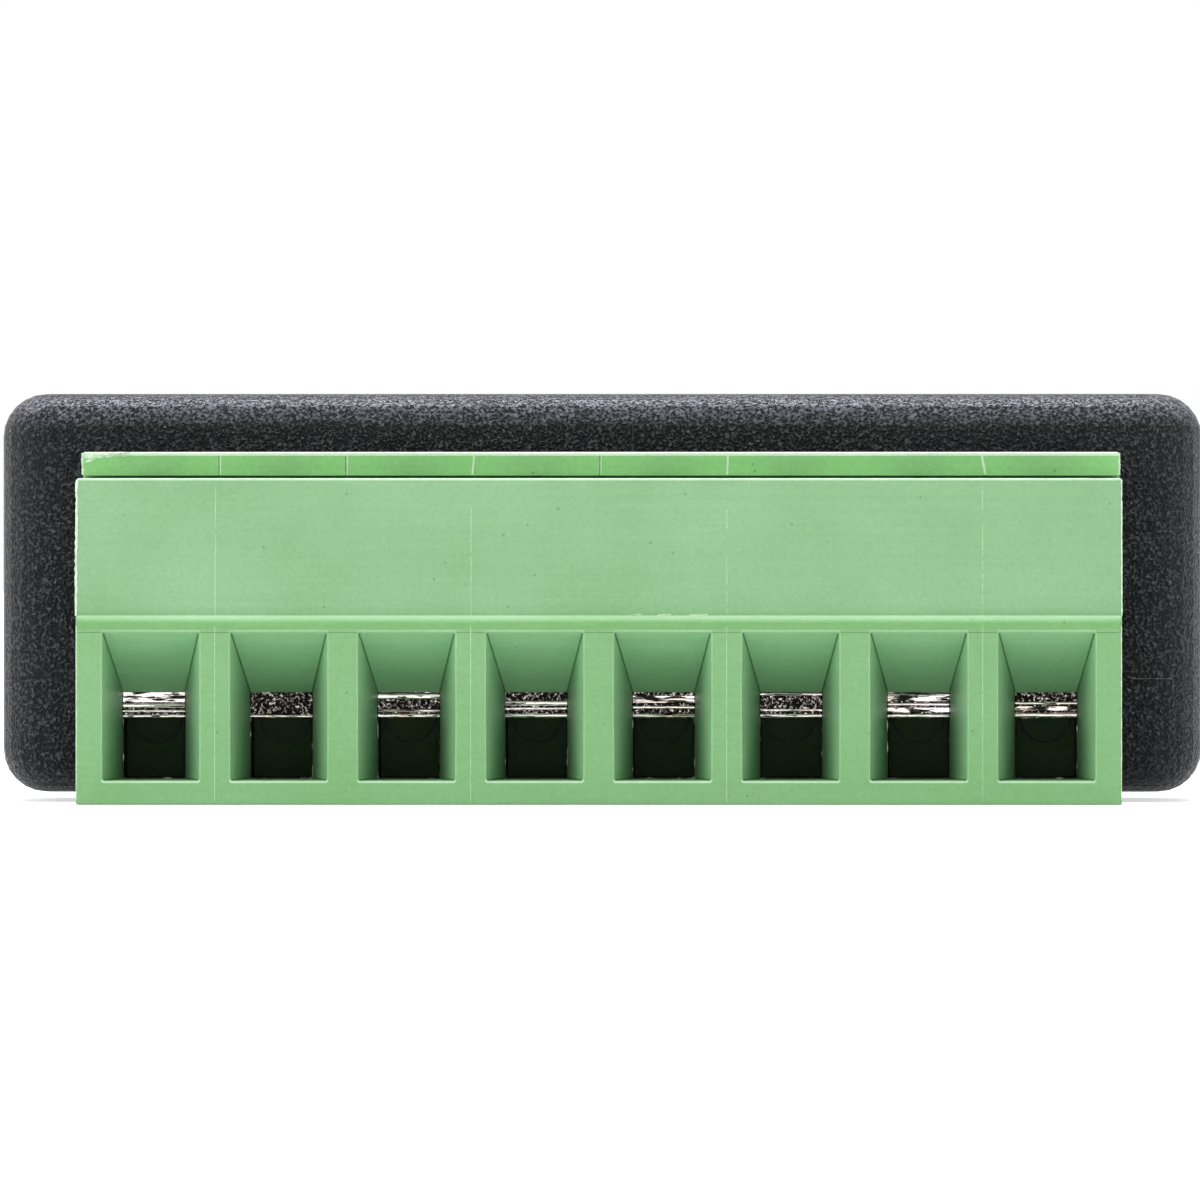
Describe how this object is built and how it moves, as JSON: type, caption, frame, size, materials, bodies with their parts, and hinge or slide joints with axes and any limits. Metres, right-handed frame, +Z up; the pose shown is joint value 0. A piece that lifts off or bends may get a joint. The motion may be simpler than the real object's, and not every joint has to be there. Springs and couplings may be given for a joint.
{
  "type": "terminal block adapter",
  "caption": "Flat black adapter case with a green pull-off screw terminal plug at the front and a modular plug with a spring latch at the back.",
  "frame": {"origin": "on the surface that the adapter lies on, under the middle of its length and width", "axes": "+X across the terminals, +Y from the wire entries to the modular plug, +Z up"},
  "size_m": [0.0362, 0.0492, 0.0123],
  "materials": {
    "plug_green": "moulded, slightly glossy, light green",
    "header_green": "moulded, light green",
    "board_green": "solder mask over glass fibre",
    "case_black": "moulded with a fine grain, black",
    "clear_plastic": "clear moulded plastic",
    "screw_steel": "plated steel",
    "cage_metal": "plated, with sheared edges",
    "contact_tin": "tin plated, with sheared edges",
    "blade_gold": "gold plated"
  },
  "bodies": {
    "adapter_body": {"top_shell": "case_black", "bottom_shell": "case_black", "circuit_board": "board_green", "header_housing": "header_green", "modular_plug": "clear_plastic", "header_pin_1": "contact_tin", "header_pin_2": "contact_tin", "header_pin_3": "contact_tin", "header_pin_4": "contact_tin", "header_pin_5": "contact_tin", "header_pin_6": "contact_tin", "header_pin_7": "contact_tin", "header_pin_8": "contact_tin", "modular_blade_1": "blade_gold", "modular_blade_2": "blade_gold", "modular_blade_3": "blade_gold", "modular_blade_4": "blade_gold", "modular_blade_5": "blade_gold", "modular_blade_6": "blade_gold", "modular_blade_7": "blade_gold", "modular_blade_8": "blade_gold"},
    "terminal_plug": {"plug_housing": "plug_green", "plug_contact_1": "contact_tin", "plug_contact_2": "contact_tin", "plug_contact_3": "contact_tin", "plug_contact_4": "contact_tin", "plug_contact_5": "contact_tin", "plug_contact_6": "contact_tin", "plug_contact_7": "contact_tin", "plug_contact_8": "contact_tin"},
    "latch": {"latch_lever": "clear_plastic"},
    "screw_1": {"clamp_screw_1": "screw_steel"},
    "cage_1": {"clamp_cage_1": "cage_metal"},
    "screw_2": {"clamp_screw_2": "screw_steel"},
    "cage_2": {"clamp_cage_2": "cage_metal"},
    "screw_3": {"clamp_screw_3": "screw_steel"},
    "cage_3": {"clamp_cage_3": "cage_metal"},
    "screw_4": {"clamp_screw_4": "screw_steel"},
    "cage_4": {"clamp_cage_4": "cage_metal"},
    "screw_5": {"clamp_screw_5": "screw_steel"},
    "cage_5": {"clamp_cage_5": "cage_metal"},
    "screw_6": {"clamp_screw_6": "screw_steel"},
    "cage_6": {"clamp_cage_6": "cage_metal"},
    "screw_7": {"clamp_screw_7": "screw_steel"},
    "cage_7": {"clamp_cage_7": "cage_metal"},
    "screw_8": {"clamp_screw_8": "screw_steel"},
    "cage_8": {"clamp_cage_8": "cage_metal"}
  },
  "joints": [
    {"name": "plug_pull", "type": "slide", "parent": "adapter_body", "child": "terminal_plug", "axis": [0, -1, 0], "range_m": [0, 0.0095]},
    {"name": "latch_press", "type": "hinge", "parent": "adapter_body", "child": "latch", "pos_m": [0, 0.02337, 0.01025], "axis": [1, 0, 0], "range_deg": [0, 6], "stiffness_Nm_per_rad": 0.1},
    {"name": "screw_1_turn", "type": "hinge", "parent": "terminal_plug", "child": "screw_1", "pos_m": [-0.01333, -0.01922, 0.00675], "axis": [0, 0, -1], "range_deg": [0, 1748.6]},
    {"name": "cage_1_lift", "type": "slide", "parent": "terminal_plug", "child": "cage_1", "axis": [0, 0, 1], "range_m": [0, 0.0017]},
    {"name": "screw_2_turn", "type": "hinge", "parent": "terminal_plug", "child": "screw_2", "pos_m": [-0.00953, -0.01922, 0.00675], "axis": [0, 0, -1], "range_deg": [0, 1748.6]},
    {"name": "cage_2_lift", "type": "slide", "parent": "terminal_plug", "child": "cage_2", "axis": [0, 0, 1], "range_m": [0, 0.0017]},
    {"name": "screw_3_turn", "type": "hinge", "parent": "terminal_plug", "child": "screw_3", "pos_m": [-0.00571, -0.01922, 0.00675], "axis": [0, 0, -1], "range_deg": [0, 1748.6]},
    {"name": "cage_3_lift", "type": "slide", "parent": "terminal_plug", "child": "cage_3", "axis": [0, 0, 1], "range_m": [0, 0.0017]},
    {"name": "screw_4_turn", "type": "hinge", "parent": "terminal_plug", "child": "screw_4", "pos_m": [-0.00191, -0.01922, 0.00675], "axis": [0, 0, -1], "range_deg": [0, 1748.6]},
    {"name": "cage_4_lift", "type": "slide", "parent": "terminal_plug", "child": "cage_4", "axis": [0, 0, 1], "range_m": [0, 0.0017]},
    {"name": "screw_5_turn", "type": "hinge", "parent": "terminal_plug", "child": "screw_5", "pos_m": [0.00191, -0.01922, 0.00675], "axis": [0, 0, -1], "range_deg": [0, 1748.6]},
    {"name": "cage_5_lift", "type": "slide", "parent": "terminal_plug", "child": "cage_5", "axis": [0, 0, 1], "range_m": [0, 0.0017]},
    {"name": "screw_6_turn", "type": "hinge", "parent": "terminal_plug", "child": "screw_6", "pos_m": [0.00571, -0.01922, 0.00675], "axis": [0, 0, -1], "range_deg": [0, 1748.6]},
    {"name": "cage_6_lift", "type": "slide", "parent": "terminal_plug", "child": "cage_6", "axis": [0, 0, 1], "range_m": [0, 0.0017]},
    {"name": "screw_7_turn", "type": "hinge", "parent": "terminal_plug", "child": "screw_7", "pos_m": [0.00953, -0.01922, 0.00675], "axis": [0, 0, -1], "range_deg": [0, 1748.6]},
    {"name": "cage_7_lift", "type": "slide", "parent": "terminal_plug", "child": "cage_7", "axis": [0, 0, 1], "range_m": [0, 0.0017]},
    {"name": "screw_8_turn", "type": "hinge", "parent": "terminal_plug", "child": "screw_8", "pos_m": [0.01333, -0.01922, 0.00675], "axis": [0, 0, -1], "range_deg": [0, 1748.6]},
    {"name": "cage_8_lift", "type": "slide", "parent": "terminal_plug", "child": "cage_8", "axis": [0, 0, 1], "range_m": [0, 0.0017]}
  ],
  "couplings": [
    {"joint": "screw_1_turn", "follows": "cage_1_lift", "rad_per_m": 17952},
    {"joint": "screw_2_turn", "follows": "cage_2_lift", "rad_per_m": 17952},
    {"joint": "screw_3_turn", "follows": "cage_3_lift", "rad_per_m": 17952},
    {"joint": "screw_4_turn", "follows": "cage_4_lift", "rad_per_m": 17952},
    {"joint": "screw_5_turn", "follows": "cage_5_lift", "rad_per_m": 17952},
    {"joint": "screw_6_turn", "follows": "cage_6_lift", "rad_per_m": 17952},
    {"joint": "screw_7_turn", "follows": "cage_7_lift", "rad_per_m": 17952},
    {"joint": "screw_8_turn", "follows": "cage_8_lift", "rad_per_m": 17952}
  ]
}
